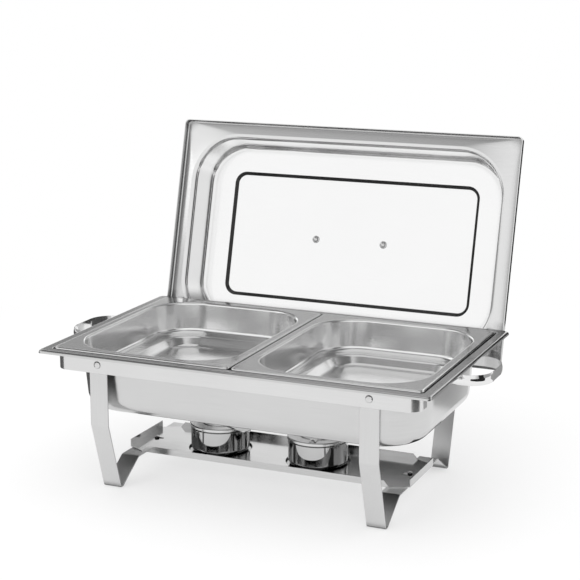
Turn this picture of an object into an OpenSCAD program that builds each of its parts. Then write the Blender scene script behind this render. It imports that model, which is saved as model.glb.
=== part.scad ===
// Chafing dish food warmer: two food pans in a water pan, on a folding strip stand
// with a burner shelf. The lid stands open behind the dish, in two hooks.
// Millimetres. X runs along the dish, Y to the back, Z up from the table.

/* [Food pans] */
// Length of one food pan along the dish, over its flange
pan_l = 262.5; // [240:0.5:290]
// Depth of a food pan from front to back, over its flange
pan_d = 323; // [300:1:360]
// Gap between the two food pans
pan_gap = 3; // [1:0.5:5]
// Width of the food pan flange
pan_flange = 13; // [11:0.5:17]
// Height of the turned-down edge of the flange
pan_lip = 5; // [3.5:0.5:6]
// Depth of the food pan from its flange to the ledge round its floor
pan_ledge_h = 47; // [38:1:52]
// Depth of the food pan from its flange to its floor
pan_h = 61; // [55:1:70]
// Flat width of the ledge round the floor
pan_ledge_w = 7; // [3:0.5:12]
// Corner radius of the food pan opening
pan_r = 67; // [48:1:68]
// Lean of the food pan walls, in degrees
pan_taper = 5; // [3:0.5:8]
// Radius between a food pan wall and its ledge or floor
pan_fillet = 9; // [6:0.5:11]

/* [Water pan] */
// Width of the flat rim round the seat of the food pans
rim_w = 14; // [11:0.5:20]
// Height of the turned-down edge of the rim
rim_lip = 5; // [3:0.5:8]
// Corner radius of the rim and of the food pan flanges
rim_r = 6; // [4:0.5:10]
// Depth of the seat below the rim
seat_h = 3; // [2:0.5:5]
// Play between the food pans and their seat
seat_play = 2; // [1:0.25:3]
// Depth of the water pan below the seat
tub_h = 85; // [78:1:100]
// Corner radius of the water pan walls
tub_r = 72; // [45:1:73]
// Lean of the water pan walls, in degrees
tub_taper = 5; // [2:0.5:6]
// Radius between the water pan walls and floor
tub_fillet = 20; // [10:1:26]
// Thickness of the pan, lid and shelf sheet
sheet = 1; // [0.8:0.1:1.2]

/* [Stand] */
// Height of the rail tops above the table
stand_h = 195; // [185:1:215]
// Height of a rail
rail_h = 24; // [21:0.5:30]
// Thickness of the rail, leg and hook strip
strip = 2; // [1.5:0.25:2.5]
// Bend radius at the rail ends, on the middle of the strip
rail_r = 17; // [12:1:24]
// Length of the straight end of a rail behind its bend
rail_tab = 12; // [8:1:20]
// Space between the leg strips and the water pan
leg_play = 6.5; // [5:0.5:9]
// Distance of each leg strip in from the end of the rails
leg_inset = 65; // [54:1:77]
// Width of a leg strip
leg_w = 27; // [22:0.5:32]
// Height of the knee where a leg turns inward
knee_z = 97; // [85:1:110]
// Distance of each foot from the middle, front and back
foot_y = 127; // [110:1:140]
// Length of the small flat under each foot
foot_flat = 6; // [4:0.5:10]
// Half length of the flat crossbar between the feet
bar_y = 79; // [72:1:88]
// Height of the top of the crossbar
bar_z = 30; // [24:0.5:36]
// Radius of the leg rivet shanks
rivet_r = 2.5; // [2:0.25:3]
// Radial play of a moving part on its rivet
pivot_play = 0.05; // [0.03:0.01:0.08]

/* [End handles] */
// Reach of an end handle past the end of the rails
grip_reach = 53; // [44:1:66]
// Half width of an end handle
grip_y = 50; // [42:1:60]
// Bend radius at the outer corners of an end handle
grip_r = 32; // [20:1:36]
// Height of the end handle band
grip_h = 14; // [10:0.5:16]
// Crown on the outer face of the end handle band
grip_crown = 1.5; // [0.5:0.25:2]

/* [Lid] */
// Step from the edge of the rim in to the edge of the lid
lid_inset = 10; // [8:0.5:12]
// Height of the turned edge of the lid
lid_lip = 6; // [4:0.5:8]
// Width of the flat flange round the lid
lid_flange = 19; // [14:0.5:26]
// Height of the dome above the flange
dome_h = 50; // [42:1:58]
// Corner radius of the dome
dome_r = 72; // [58:1:84]
// Lean of the dome wall, in degrees
dome_lean = 7; // [4:0.5:12]
// Radius at the foot and at the shoulder of the dome
dome_fillet = 7; // [5:0.5:9]
// Distance from the foot of the dome in to the raised panel
panel_inset = 51.5; // [45:0.5:60]
// Width of the slope round the raised panel
panel_slope = 5; // [3:0.5:8]
// Height of the raised panel above the dome
panel_h = 4; // [2:0.5:6]
// Corner radius of the raised panel
panel_r = 16; // [12:0.5:24]
// Lean of the open lid, in degrees
lid_tilt = 15; // [13:0.5:17]
// Length of the lid that hangs below the rim
lid_drop = 60; // [56:1:62]
// Distance between the lid handle screws
lid_screws_l = 110; // [90:1:130]
// Height of the lid handle
bow_h = 34; // [28:1:42]
// Width of the lid handle strip
bow_w = 18; // [14:0.5:24]

/* [Lid hooks] */
// Distance of each hook from the middle of the dish
hook_x = 64; // [45:1:75]
// Width of a hook strip
hook_w = 24; // [20:0.5:30]
// Height of the upturned end of a hook
hook_up = 10; // [6:0.5:14]

/* [Burner shelf] */
// Width of the shelf from front to back
shelf_w = 120; // [110:1:130]
// Height of the turned-up front and back flanges
shelf_flange = 8; // [5:0.5:11]
// Length of the shelf past the studs, at each end
shelf_end = 17; // [14:0.5:24]
// Height of the turned-up end flaps
shelf_flap = 10; // [8:0.5:16]
// Radius of the studs that hold the shelf
stud_r = 3.5; // [3:0.25:4]
// Height of the studs above the shelf
stud_h = 3.5; // [2:0.25:4]
// Depth of the recess for each burner
recess_h = 3; // [2:0.5:5]
// Play between a burner and its recess
recess_play = 3.5; // [2:0.5:5]

/* [Burners] */
// Distance between the two burners
burner_pitch = 151; // [135:1:160]
// Place of the burner pair along the shelf, from its middle
burner_shift = -16; // [-24:1:16]
// Outer radius of a burner cup
cup_r = 42; // [38:0.5:45]
// Height of a burner cup
cup_h = 42; // [36:0.5:46]
// Radius between the wall and the floor of a burner cup
cup_fillet = 9; // [5:0.5:12]
// Height of the skirt of the burner cover
cover_skirt = 4; // [3:0.5:6]
// Radius of the flame opening in the cover
flame_r = 23; // [18:0.5:25]
// Overlap of the damper round the flame opening
damper_lap = 3; // [2:0.5:4]
// Reach of the damper tab past the cover
damper_reach = 20; // [12:1:26]
// Width of the damper tab
damper_tab = 16; // [12:0.5:20]
// Direction of the left damper tab, in degrees from the X axis
left_tab_turn = -27; // [-40:1:30]
// Direction of the right damper tab, in degrees from the X axis
right_tab_turn = 100; // [80:1:120]

/* [Hidden] */
$fn = 64;
bend_steps = 7;
touch = 0.3;

// Food pans and the water pan that holds them
pans_l = 2*pan_l + pan_gap;
pan_x = (pan_l + pan_gap)/2;
seat_l = pans_l + 2*seat_play;
seat_d = pan_d + 2*seat_play;
rim_l = seat_l + 2*rim_w;
rim_d = seat_d + 2*rim_w;
wall_step = pan_flange - sheet - seat_play;
tub_l = pans_l - 2*wall_step;
tub_d = pan_d - 2*wall_step;
seat_z = stand_h + sheet;
rim_z = seat_z + seat_h;
pan_z = seat_z + pan_lip;

// Stand, built outward from the water pan
rail_y = tub_d/2 + sheet + leg_play + 1.5*strip;
rail_x = tub_l/2 + sheet + seat_play + 1.5*strip;
leg_x = rail_x - leg_inset;
leg_y = rail_y - strip;
grip_x = rail_x + strip/2 + grip_reach;
band_x = rail_x - strip;
rivet_z = stand_h - rail_h/2;
rivet_head_r = 2*rivet_r;
rivet_head_h = 0.8*rivet_r;
leg_over = 9;
band_z = stand_h - 1 - grip_h/2;

// Lid, turned over its back edge; its side edges lean on the foot of the turned-down rim
lid_l = rim_l - 2*lid_inset;
lid_d = rim_d - 2*lid_inset;
dome_l = lid_l - 2*lid_flange;
dome_d = lid_d - 2*lid_flange;
lean_y = rim_d/2 + touch + rim_lip*tan(lid_tilt) + lid_lip/cos(lid_tilt);
lid_up = lid_d/2 - lid_drop;
lid_y = lean_y + lid_up*sin(lid_tilt);
lid_z = rim_z + lid_up*cos(lid_tilt);
panel_z = dome_h + panel_h;
screw_r = 2;
washer_t = 1;
bow_pad = 11;

// Lowest corner of the open lid, which the hooks carry
lid_low_y = lean_y - lid_drop*sin(lid_tilt) + sheet*cos(lid_tilt);
lid_low_z = rim_z - lid_drop*cos(lid_tilt) - sheet*sin(lid_tilt);
hook_z = lid_low_z - touch - strip/2;
hook_y = lid_low_y + (hook_up + strip)*tan(lid_tilt) + touch + strip/2;

// Burner shelf and burners
shelf_x = leg_x + shelf_end;
shelf_z = bar_z;
slot_free = 7;
recess_r = cup_r + recess_play;
cup_z = shelf_z + sheet - recess_h;
cover_z = cup_z + cup_h;
cover_r = cup_r + touch + sheet;
damper_r = flame_r + damper_lap;
damper_pin_r = 1.75;
damper_pin_at = (flame_r + cup_r)/2 + 1;
left_burner_x = burner_shift - burner_pitch/2;
right_burner_x = burner_shift + burner_pitch/2;

// The origin is below the middle of the whole outline, open lid included
back_reach = lid_y + (panel_z + sheet + bow_h)*cos(lid_tilt) + bow_w/2*sin(lid_tilt);
stand_y = (rim_d/2 - back_reach)/2;

// Points on an arc about c, from angle a to angle b
function arc(c, r, a, b) =
    [for (i = [0:bend_steps]) c + r*[cos(a + (b - a)*i/bend_steps), sin(a + (b - a)*i/bend_steps)]];

function reversed(p) = [for (i = [len(p) - 1:-1:0]) p[i]];

// Half section of a drawn pan wall: straight lean, then a round foot, then the floor.
// r is the inner corner radius at the top, off the distance to the outer skin.
function foot_centre(r, h, f, lean) =
    [r - tan(lean)*(h - f + f*sin(lean)) - f*cos(lean), f - h];

function pan_skin(r, h, f, lean, off) =
    concat([[r + off/cos(lean), 0]], arc(foot_centre(r, h, f, lean), f + off, -lean, -90), [[0, -h - off]]);

// The same wall with a ledge above the floor; the ledge edge is rounded to half the fillet
function ledge_centre(r, h, f, lean, w) =
    foot_centre(r, h, f, lean) - [w, f + f/2 + sheet/2];

function floor_centre(c, h, f, lean) =
    let (g = f/2 + sheet/2, edge = c + g*[-cos(lean), sin(lean)])
    [edge.x - tan(lean)*(edge.y - (f - h - f*sin(lean))) - f*cos(lean), f - h];

function stepped_skin(r, h1, h2, f, lean, w, step_lean, off) =
    let (c2 = ledge_centre(r, h1, f, lean, w), c3 = floor_centre(c2, h2, f, step_lean))
    concat([[r + off/cos(lean), 0]], arc(foot_centre(r, h1, f, lean), f + off, -lean, -90),
        arc(c2, f/2 + sheet/2 - off, 90, 180 - step_lean), arc(c3, f + off, -step_lean, -90),
        [[0, -h2 - off]]);

// Half section of the lid dome: round foot on the flange, leaning wall, round shoulder, flat top
function dome_skin(r, h, f, lean, off) =
    let (foot = [r, f] - f*[cos(lean), sin(lean)], top_y = h - f + f*sin(lean),
        top_x = foot.x - tan(lean)*(top_y - foot.y))
    concat(arc([r, f], f - off, -90, lean - 180),
        arc([top_x - f*cos(lean), h - f], f + off, lean, 90), [[0, h + off]]);

module on_stand() {
    translate([0, stand_y, 0]) children();
}

module rounded(l, d, r) {
    square([l - 2*r, d], center = true);
    square([l, d - 2*r], center = true);
    for (x = [-1, 1], y = [-1, 1])
        translate([x*(l/2 - r), y*(d/2 - r)]) circle(r);
}

module ring(l, d, r, w) {
    difference() {
        rounded(l, d, r);
        rounded(l - 2*w, d - 2*w, max(r - w, 0.5));
    }
}

// Carries a half section round a rectangle with round corners of radius r
module around(l, d, r) {
    for (q = [[1, 1, 0], [-1, 1, 90], [-1, -1, 180], [1, -1, 270]])
        translate([q.x*(l/2 - r), q.y*(d/2 - r), 0])
            rotate([0, 0, q.z])
                rotate_extrude(angle = 90) children();
    for (s = [-1, 1]) {
        translate([s*(l/2 - r), 0, 0])
            rotate([90, 0, 90 - 90*s])
                linear_extrude(d - 2*r, center = true) children();
        translate([0, s*(d/2 - r), 0])
            rotate([90, 0, 90*s])
                linear_extrude(l - 2*r, center = true) children();
    }
}

function heading(a, b) = atan2(b.y - a.y, b.x - a.x);
function left_of(a, b) = [a.y - b.y, b.x - a.x]/norm(b - a);
function turn_at(p, i) =
    let (t = heading(p[i], p[i + 1]) - heading(p[i - 1], p[i])) t > 180 ? t - 360 : t < -180 ? t + 360 : t;
function trim_at(p, r, i) = i == 0 || i == len(p) - 1 ? 0 : r[i - 1]*tan(abs(turn_at(p, i))/2);

// Carries a section along a path of straight runs with a round bend at every inner point.
// The section lies with X to the left of the path and Y up; radii are on the path itself.
module bent(p, r) {
    for (i = [0:len(p) - 2]) {
        h = heading(p[i], p[i + 1]);
        a = p[i] + trim_at(p, r, i)*[cos(h), sin(h)];
        b = p[i + 1] - trim_at(p, r, i + 1)*[cos(h), sin(h)];
        translate(a) rotate([0, 0, h]) rotate([90, 0, 90])
            linear_extrude(norm(b - a)) children();
    }
    for (i = [1:len(p) - 2]) {
        h = heading(p[i - 1], p[i]);
        t = turn_at(p, i);
        s = sign(t);
        from = p[i] - trim_at(p, r, i)*[cos(h), sin(h)];
        translate(from + s*r[i - 1]*[-sin(h), cos(h)])
            rotate([0, 0, s > 0 ? h - 90 : h + 90 + t])
                rotate_extrude(angle = abs(t))
                    translate([r[i - 1], 0]) mirror([s > 0 ? 1 : 0, 0]) children();
    }
}

// One side of a strip that follows such a path, off to the left of it
function strip_side(p, r, off) =
    [for (i = [0:len(p) - 1]) each
        i == 0 ? [p[0] + off*left_of(p[0], p[1])] :
        i == len(p) - 1 ? [p[i] + off*left_of(p[i - 1], p[i])] :
        let (s = sign(turn_at(p, i)), h = heading(p[i - 1], p[i]),
            c = p[i] - trim_at(p, r, i)*[cos(h), sin(h)] + s*r[i - 1]*left_of(p[i - 1], p[i]))
        arc(c, r[i - 1] - s*off, h - 90*s, h - 90*s + turn_at(p, i))];

// Flat strip of width w bent along the path; the path lies in the middle of the strip
module bent_strip(p, r, w) {
    linear_extrude(w, center = true)
        polygon(concat(strip_side(p, r, strip/2), reversed(strip_side(p, r, -strip/2))));
}

// Rivet along Z: domed head above the plate at z = 0, shank and flat tail below it
module rivet(r, head_r, head_h, grip, tail_r, tail_h) {
    ball = (head_r*head_r + head_h*head_h)/(2*head_h);
    intersection() {
        translate([0, 0, head_h - ball]) sphere(ball);
        cylinder(h = head_h, r = head_r);
    }
    translate([0, 0, -grip]) cylinder(h = grip, r = r);
    translate([0, 0, -grip - tail_h]) cylinder(h = tail_h, r = tail_r);
}

module at_leg_rivets() {
    for (x = [-leg_x, leg_x]) {
        translate([x, -rail_y - strip/2, rivet_z]) rotate([90, 0, 0]) children();
        translate([x, rail_y + strip/2, rivet_z]) rotate([-90, 0, 0]) children();
    }
}

module at_hook_rivets() {
    for (x = [-hook_x, hook_x], s = [-1, 1])
        translate([x + s*hook_w/4, rail_y + strip/2, rivet_z]) rotate([-90, 0, 0]) children();
}

// Rail strip with both ends bent round to the back
module rail() {
    path = [[-rail_x, rail_r + rail_tab - rail_y], [-rail_x, -rail_y], [rail_x, -rail_y],
        [rail_x, rail_r + rail_tab - rail_y]];
    translate([0, 0, rivet_z])
        bent(path, [rail_r, rail_r]) square([strip, rail_h], center = true);
}

module front_rail() {
    color("gainsboro") on_stand() difference() {
        rail();
        at_leg_rivets() cylinder(h = 4*strip, r = rivet_r + pivot_play, center = true);
    }
}

module rear_rail() {
    color("gainsboro") on_stand() difference() {
        mirror([0, 1, 0]) rail();
        at_leg_rivets() cylinder(h = 4*strip, r = rivet_r + pivot_play, center = true);
        at_hook_rivets() cylinder(h = 4*strip, r = rivet_r + pivot_play, center = true);
    }
}

// End handle: one band welded inside both rail ends and bowed out between them
module handle() {
    end_y = rail_y - rail_r - 1;
    path = [[band_x, -end_y], [band_x, -grip_y], [grip_x - strip/2, -grip_y],
        [grip_x - strip/2, grip_y], [band_x, grip_y], [band_x, end_y]];
    crown_r = (grip_h*grip_h/4 + grip_crown*grip_crown)/(2*grip_crown);
    edge = asin(grip_h/2/crown_r);
    translate([0, 0, band_z])
        bent(path, [8, grip_r, grip_r, 8])
            polygon(concat([[strip/2, grip_h/2], [strip/2, -grip_h/2]],
                reversed(arc([crown_r - strip/2, 0], crown_r, 180 - edge, 180 + edge))));
}

module right_handle() {
    color("silver") on_stand() handle();
}

module left_handle() {
    color("silver") on_stand() mirror([1, 0, 0]) handle();
}

// Leg strip: down from the front rivet, in to the foot, across under the shelf and up to the back
module leg(x) {
    bar = bar_z - strip/2;
    low = strip/2;
    half = [[-leg_y, rivet_z + leg_over], [-leg_y, knee_z], [-foot_y - foot_flat/2, low],
        [foot_flat/2 - foot_y, low], [-bar_y, bar]];
    path = concat(half, [for (p = reversed(half)) [-p.x, p.y]]);
    bends = [8, strip, strip, 8];
    difference() {
        translate([x, 0, 0]) rotate([90, 0, 90])
            bent_strip(path, concat(bends, reversed(bends)), leg_w);
        at_leg_rivets() cylinder(h = 5*strip, r = rivet_r + pivot_play, center = true);
        translate([x, 0, bar]) cylinder(h = 2*strip, r = stud_r/2 + pivot_play, center = true);
    }
}

module left_leg() {
    color("lightgray") on_stand() leg(-leg_x);
}

module right_leg() {
    color("lightgray") on_stand() leg(leg_x);
}

module leg_rivets() {
    color("silver") on_stand()
        at_leg_rivets() rivet(rivet_r, rivet_head_r, rivet_head_h, 2*strip, 1.6*rivet_r, strip);
}

// Stud riveted through the crossbar, with a round top that stands through the shelf
module shelf_stud(x) {
    translate([x, 0, bar_z]) {
        cylinder(h = sheet + stud_h - stud_r/2, r = stud_r);
        translate([0, 0, sheet + stud_h - stud_r/2]) intersection() {
            translate([0, 0, -0.75*stud_r]) sphere(1.25*stud_r);
            cylinder(h = stud_r/2, r = stud_r);
        }
        translate([0, 0, -strip - 1]) cylinder(h = strip + 1, r = stud_r/2);
        translate([0, 0, -strip - 1]) cylinder(h = 1, r = stud_r);
    }
}

module left_shelf_stud() {
    color("silver") on_stand() shelf_stud(-leg_x);
}

module right_shelf_stud() {
    color("silver") on_stand() shelf_stud(leg_x);
}

// Hook strip: down the inside of the rear rail, out under the lid edge and up behind it
module lid_hook(x) {
    path = [[leg_y, rivet_z + leg_over], [leg_y, hook_z], [hook_y, hook_z], [hook_y, hook_z + hook_up + strip]];
    difference() {
        translate([x, 0, 0]) rotate([90, 0, 90])
            bent_strip(path, [1.5*strip, 1.5*strip], hook_w);
        at_hook_rivets() cylinder(h = 5*strip, r = rivet_r + pivot_play, center = true);
    }
}

module left_lid_hook() {
    color("lightgray") on_stand() lid_hook(-hook_x);
}

module right_lid_hook() {
    color("lightgray") on_stand() lid_hook(hook_x);
}

module hook_rivets() {
    color("silver") on_stand()
        at_hook_rivets() rivet(rivet_r, 1.6*rivet_r, rivet_head_h, 2*strip, 1.6*rivet_r, strip);
}

// Shelf channel: flanges turned up front and back, flaps turned up at both ends,
// a slot for each stud and a pressed round recess for each burner
module burner_shelf() {
    flange_x = leg_x - shelf_flange;
    corner = shelf_flange;
    flap_y = shelf_w/2 - 1.5*corner;
    outline = [[flange_x, -shelf_w/2], [shelf_x - corner, -flap_y - corner/2], [shelf_x, -flap_y],
        [shelf_x, flap_y], [shelf_x - corner, flap_y + corner/2], [flange_x, shelf_w/2]];
    slot = stud_r + touch;
    color("lightgray") on_stand() translate([0, 0, shelf_z]) {
        difference() {
            linear_extrude(sheet)
                polygon(concat(outline, [for (p = outline) -p]));
            for (x = [left_burner_x, right_burner_x])
                translate([x, 0, -1]) cylinder(h = sheet + 2, r = recess_r);
            for (s = [-1, 1], x = [leg_x, leg_x - slot_free])
                translate([s*x, 0, -1]) cylinder(h = sheet + 2, r = slot);
            for (s = [-1, 1])
                translate([s*(leg_x - slot_free/2), 0, 0]) cube([slot_free, 2*slot, 3*sheet], center = true);
        }
        for (x = [left_burner_x, right_burner_x])
            translate([x, 0, -recess_h]) rotate_extrude()
                polygon([[0, 0], [recess_r + sheet, 0], [recess_r + sheet, recess_h],
                    [recess_r, recess_h + sheet], [recess_r, sheet], [0, sheet]]);
        for (s = [-1, 1])
            translate([0, s*(shelf_w/2 - sheet/2) + sheet/2, 0]) rotate([90, 0, 0]) linear_extrude(sheet)
                polygon([[-flange_x, 0], [flange_x, 0], [flange_x - shelf_flange, sheet + shelf_flange],
                    [shelf_flange - flange_x, sheet + shelf_flange]]);
        for (s = [-1, 1])
            translate([s*(shelf_x - sheet/2), 0, (sheet + shelf_flap)/2])
                cube([sheet, 2*flap_y, sheet + shelf_flap], center = true);
    }
}

module burner_cup(x) {
    inner = cup_r - sheet;
    on_stand() translate([x, 0, cover_z - sheet]) rotate_extrude()
        polygon(concat(pan_skin(inner, cup_h - 2*sheet, cup_fillet, 0, 0),
            reversed(pan_skin(inner, cup_h - 2*sheet, cup_fillet, 0, sheet))));
}

module left_burner_cup() {
    color("silver") burner_cup(left_burner_x);
}

module right_burner_cup() {
    color("silver") burner_cup(right_burner_x);
}

// Cover: a ring with a skirt that caps the cup and leaves the flame opening
module burner_cover(x, turn) {
    on_stand() translate([x, 0, cover_z]) difference() {
        rotate_extrude()
            polygon([[flame_r, 0], [flame_r, -sheet], [cup_r + touch, -sheet], [cup_r + touch, -cover_skirt],
                [cover_r, -cover_skirt], [cover_r, -sheet], [cup_r, 0]]);
        rotate([0, 0, turn + 180]) translate([damper_pin_at, 0, -2*sheet])
            cylinder(h = 4*sheet, r = damper_pin_r + pivot_play);
    }
}

module left_burner_cover() {
    color("whitesmoke") burner_cover(left_burner_x, left_tab_turn);
}

module right_burner_cover() {
    color("whitesmoke") burner_cover(right_burner_x, right_tab_turn);
}

// Damper: a flat disc over the flame opening, with an ear on its pin and a tab to turn it by
module damper(x, turn) {
    ear = 3*damper_pin_r;
    on_stand() translate([x, 0, cover_z]) rotate([0, 0, turn]) difference() {
        linear_extrude(sheet) {
            circle(damper_r);
            translate([-damper_pin_at, 0]) circle(ear);
            translate([-damper_pin_at, -ear]) square([damper_pin_at, 2*ear]);
            translate([0, -damper_tab/2]) square([cover_r + damper_reach - damper_tab/4, damper_tab]);
            translate([0, -damper_tab/4]) square([cover_r + damper_reach, damper_tab/2]);
            for (s = [-1, 1])
                translate([cover_r + damper_reach - damper_tab/4, s*damper_tab/4]) circle(damper_tab/4);
        }
        translate([-damper_pin_at, 0, -sheet]) cylinder(h = 3*sheet, r = damper_pin_r + pivot_play);
    }
}

module left_damper() {
    color("lightgray") damper(left_burner_x, left_tab_turn);
}

module right_damper() {
    color("lightgray") damper(right_burner_x, right_tab_turn);
}

module damper_pin(x, turn) {
    on_stand() translate([x, 0, cover_z + sheet]) rotate([0, 0, turn + 180]) translate([damper_pin_at, 0, 0])
        rivet(damper_pin_r, 2*damper_pin_r, damper_pin_r, 2*sheet, 1.6*damper_pin_r, sheet);
}

module left_damper_pin() {
    color("gray") damper_pin(left_burner_x, left_tab_turn);
}

module right_damper_pin() {
    color("gray") damper_pin(right_burner_x, right_tab_turn);
}

// Water pan: drawn tub, seat for the food pans, flat rim and turned-down edge
module water_pan() {
    color("lightgray") on_stand() {
        translate([0, 0, rim_z - sheet]) linear_extrude(sheet) difference() {
            rounded(rim_l, rim_d, rim_r);
            rounded(seat_l, seat_d, rim_r);
        }
        translate([0, 0, rim_z - rim_lip]) linear_extrude(rim_lip) ring(rim_l, rim_d, rim_r, sheet);
        translate([0, 0, stand_h]) linear_extrude(seat_h + sheet)
            ring(seat_l + 2*sheet, seat_d + 2*sheet, rim_r + sheet, sheet);
        translate([0, 0, stand_h]) linear_extrude(sheet) difference() {
            rounded(seat_l + 2*sheet, seat_d + 2*sheet, rim_r + sheet);
            rounded(tub_l, tub_d, tub_r);
        }
        translate([0, 0, seat_z]) {
            around(tub_l, tub_d, tub_r)
                polygon(concat(pan_skin(tub_r, tub_h, tub_fillet, tub_taper, 0),
                    reversed(pan_skin(tub_r, tub_h, tub_fillet, tub_taper, sheet))));
            translate([0, 0, -tub_h - sheet/2])
                cube([tub_l - 2*tub_r, tub_d - 2*tub_r, sheet], center = true);
        }
    }
}

// Food pan: flat flange with a turned-down edge, leaning walls, ledge and sunk floor
module food_pan(x) {
    open_l = pan_l - 2*pan_flange;
    open_d = pan_d - 2*pan_flange;
    step_lean = 35;
    on_stand() translate([x, 0, pan_z]) {
        translate([0, 0, -sheet]) linear_extrude(sheet) difference() {
            rounded(pan_l, pan_d, rim_r);
            rounded(open_l, open_d, pan_r);
        }
        translate([0, 0, -pan_lip]) linear_extrude(pan_lip) ring(pan_l, pan_d, rim_r, sheet);
        around(open_l, open_d, pan_r)
            polygon(concat(
                stepped_skin(pan_r, pan_ledge_h, pan_h, pan_fillet, pan_taper, pan_ledge_w, step_lean, 0),
                reversed(stepped_skin(pan_r, pan_ledge_h, pan_h, pan_fillet, pan_taper, pan_ledge_w,
                    step_lean, sheet))));
        translate([0, 0, -pan_h - sheet/2])
            cube([open_l - 2*pan_r, open_d - 2*pan_r, sheet], center = true);
    }
}

module left_food_pan() {
    color("gainsboro") food_pan(-pan_x);
}

module right_food_pan() {
    color("gainsboro") food_pan(pan_x);
}

// Places a lid piece: built as the lid lies on the dish, then turned over its back edge
module on_lid() {
    on_stand() translate([0, lid_y, lid_z]) rotate([-90 - lid_tilt, 0, 0]) children();
}

module lid_shell() {
    panel_l = dome_l - 2*panel_inset;
    panel_d = dome_d - 2*panel_inset;
    slope = panel_r - panel_slope;
    color("gainsboro") on_lid() difference() {
        union() {
            linear_extrude(sheet) difference() {
                rounded(lid_l, lid_d, rim_r + sheet);
                rounded(dome_l, dome_d, dome_r);
            }
            translate([0, 0, -lid_lip]) linear_extrude(lid_lip + sheet)
                ring(lid_l, lid_d, rim_r + sheet, sheet);
            difference() {
                union() {
                    around(dome_l, dome_d, dome_r)
                        polygon(concat(dome_skin(dome_r, dome_h, dome_fillet, dome_lean, 0),
                            reversed(dome_skin(dome_r, dome_h, dome_fillet, dome_lean, sheet))));
                    translate([0, 0, dome_h + sheet/2])
                        cube([dome_l - 2*dome_r, dome_d - 2*dome_r, sheet], center = true);
                }
                translate([0, 0, dome_h - sheet]) linear_extrude(3*sheet) rounded(panel_l, panel_d, panel_r);
            }
            translate([0, 0, dome_h]) around(panel_l, panel_d, panel_r)
                polygon([[panel_r, 0], [slope, panel_h], [0, panel_h], [0, panel_h + sheet],
                    [slope, panel_h + sheet], [panel_r, sheet]]);
            translate([0, 0, panel_z + sheet/2])
                cube([panel_l - 2*panel_r, panel_d - 2*panel_r, sheet], center = true);
        }
        for (s = [-1, 1])
            translate([s*lid_screws_l/2, 0, panel_z - sheet]) cylinder(h = 3*sheet, r = screw_r + pivot_play);
    }
}

// Bow handle on the outside of the lid, with a threaded boss on each foot
module lid_handle() {
    foot = strip/2;
    inner = lid_screws_l/2 - bow_pad;
    path = [[-lid_screws_l/2 - bow_pad, foot], [-inner, foot], [12 - inner, bow_h - foot],
        [inner - 12, bow_h - foot], [inner, foot], [lid_screws_l/2 + bow_pad, foot]];
    color("silver") on_lid() translate([0, 0, panel_z + sheet]) difference() {
        union() {
            rotate([90, 0, 0]) bent_strip(path, [5, 12, 12, 5], bow_w);
            for (s = [-1, 1])
                translate([s*lid_screws_l/2, 0, 0]) cylinder(h = strip + 5, r = 5);
        }
        for (s = [-1, 1])
            translate([s*lid_screws_l/2, 0, -1]) cylinder(h = strip + 5, r = screw_r + pivot_play);
    }
}

module lid_screws() {
    color("silver") on_lid() for (s = [-1, 1])
        translate([s*lid_screws_l/2, 0, panel_z - washer_t]) rotate([180, 0, 0])
            rivet(screw_r, 2*screw_r, 1.2*screw_r, washer_t + sheet + strip, screw_r, 1);
}

module lid_washers() {
    color("gray") on_lid() for (s = [-1, 1])
        translate([s*lid_screws_l/2, 0, panel_z - washer_t]) difference() {
            cylinder(h = washer_t, r = 2.75*screw_r);
            translate([0, 0, -1]) cylinder(h = washer_t + 2, r = screw_r + pivot_play);
        }
}

front_rail();
rear_rail();
left_handle();
right_handle();
left_leg();
right_leg();
leg_rivets();
left_shelf_stud();
right_shelf_stud();
left_lid_hook();
right_lid_hook();
hook_rivets();
burner_shelf();
left_burner_cup();
right_burner_cup();
left_burner_cover();
right_burner_cover();
left_damper();
right_damper();
left_damper_pin();
right_damper_pin();
water_pan();
left_food_pan();
right_food_pan();
lid_shell();
lid_handle();
lid_screws();
lid_washers();
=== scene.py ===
"""Chafing dish food warmer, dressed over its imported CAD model.

Metres, Z up, the lid open at the back (+Y).
"""
import math

import bmesh
import bpy
import numpy as np
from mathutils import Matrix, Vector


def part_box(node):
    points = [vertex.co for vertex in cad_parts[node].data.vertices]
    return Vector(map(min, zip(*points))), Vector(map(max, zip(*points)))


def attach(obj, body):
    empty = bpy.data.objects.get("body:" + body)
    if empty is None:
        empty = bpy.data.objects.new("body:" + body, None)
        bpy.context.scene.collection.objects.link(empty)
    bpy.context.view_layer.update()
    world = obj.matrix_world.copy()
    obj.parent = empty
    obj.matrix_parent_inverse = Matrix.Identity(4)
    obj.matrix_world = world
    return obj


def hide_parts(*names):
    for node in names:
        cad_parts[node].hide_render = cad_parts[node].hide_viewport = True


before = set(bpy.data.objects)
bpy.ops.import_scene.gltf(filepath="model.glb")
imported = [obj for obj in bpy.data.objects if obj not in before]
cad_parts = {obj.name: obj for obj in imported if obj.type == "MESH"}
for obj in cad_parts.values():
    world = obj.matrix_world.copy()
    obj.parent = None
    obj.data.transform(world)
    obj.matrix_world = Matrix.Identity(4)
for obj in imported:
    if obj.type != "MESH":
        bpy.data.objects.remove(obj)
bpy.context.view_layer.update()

# Front and rear rails
# Cold-rolled stainless strip, 2 mm thick, set on edge under the rim and bent round at both ends.
# The strip is drawn to a fine brushed finish along its length, with its edges broken round.
mm = 0.001


def linear(hex_colour):
    """An sRGB hex colour as linear RGBA: divided by 12.92 near black, raised to the power 2.4 above it."""
    srgb = np.array([int(hex_colour[i:i + 2], 16) for i in (1, 3, 5)]) / 255
    rgb = np.where(srgb <= 0.04045, srgb / 12.92, ((srgb + 0.055) / 1.055) ** 2.4)
    return (*(float(channel) for channel in rgb), 1.0)


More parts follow.
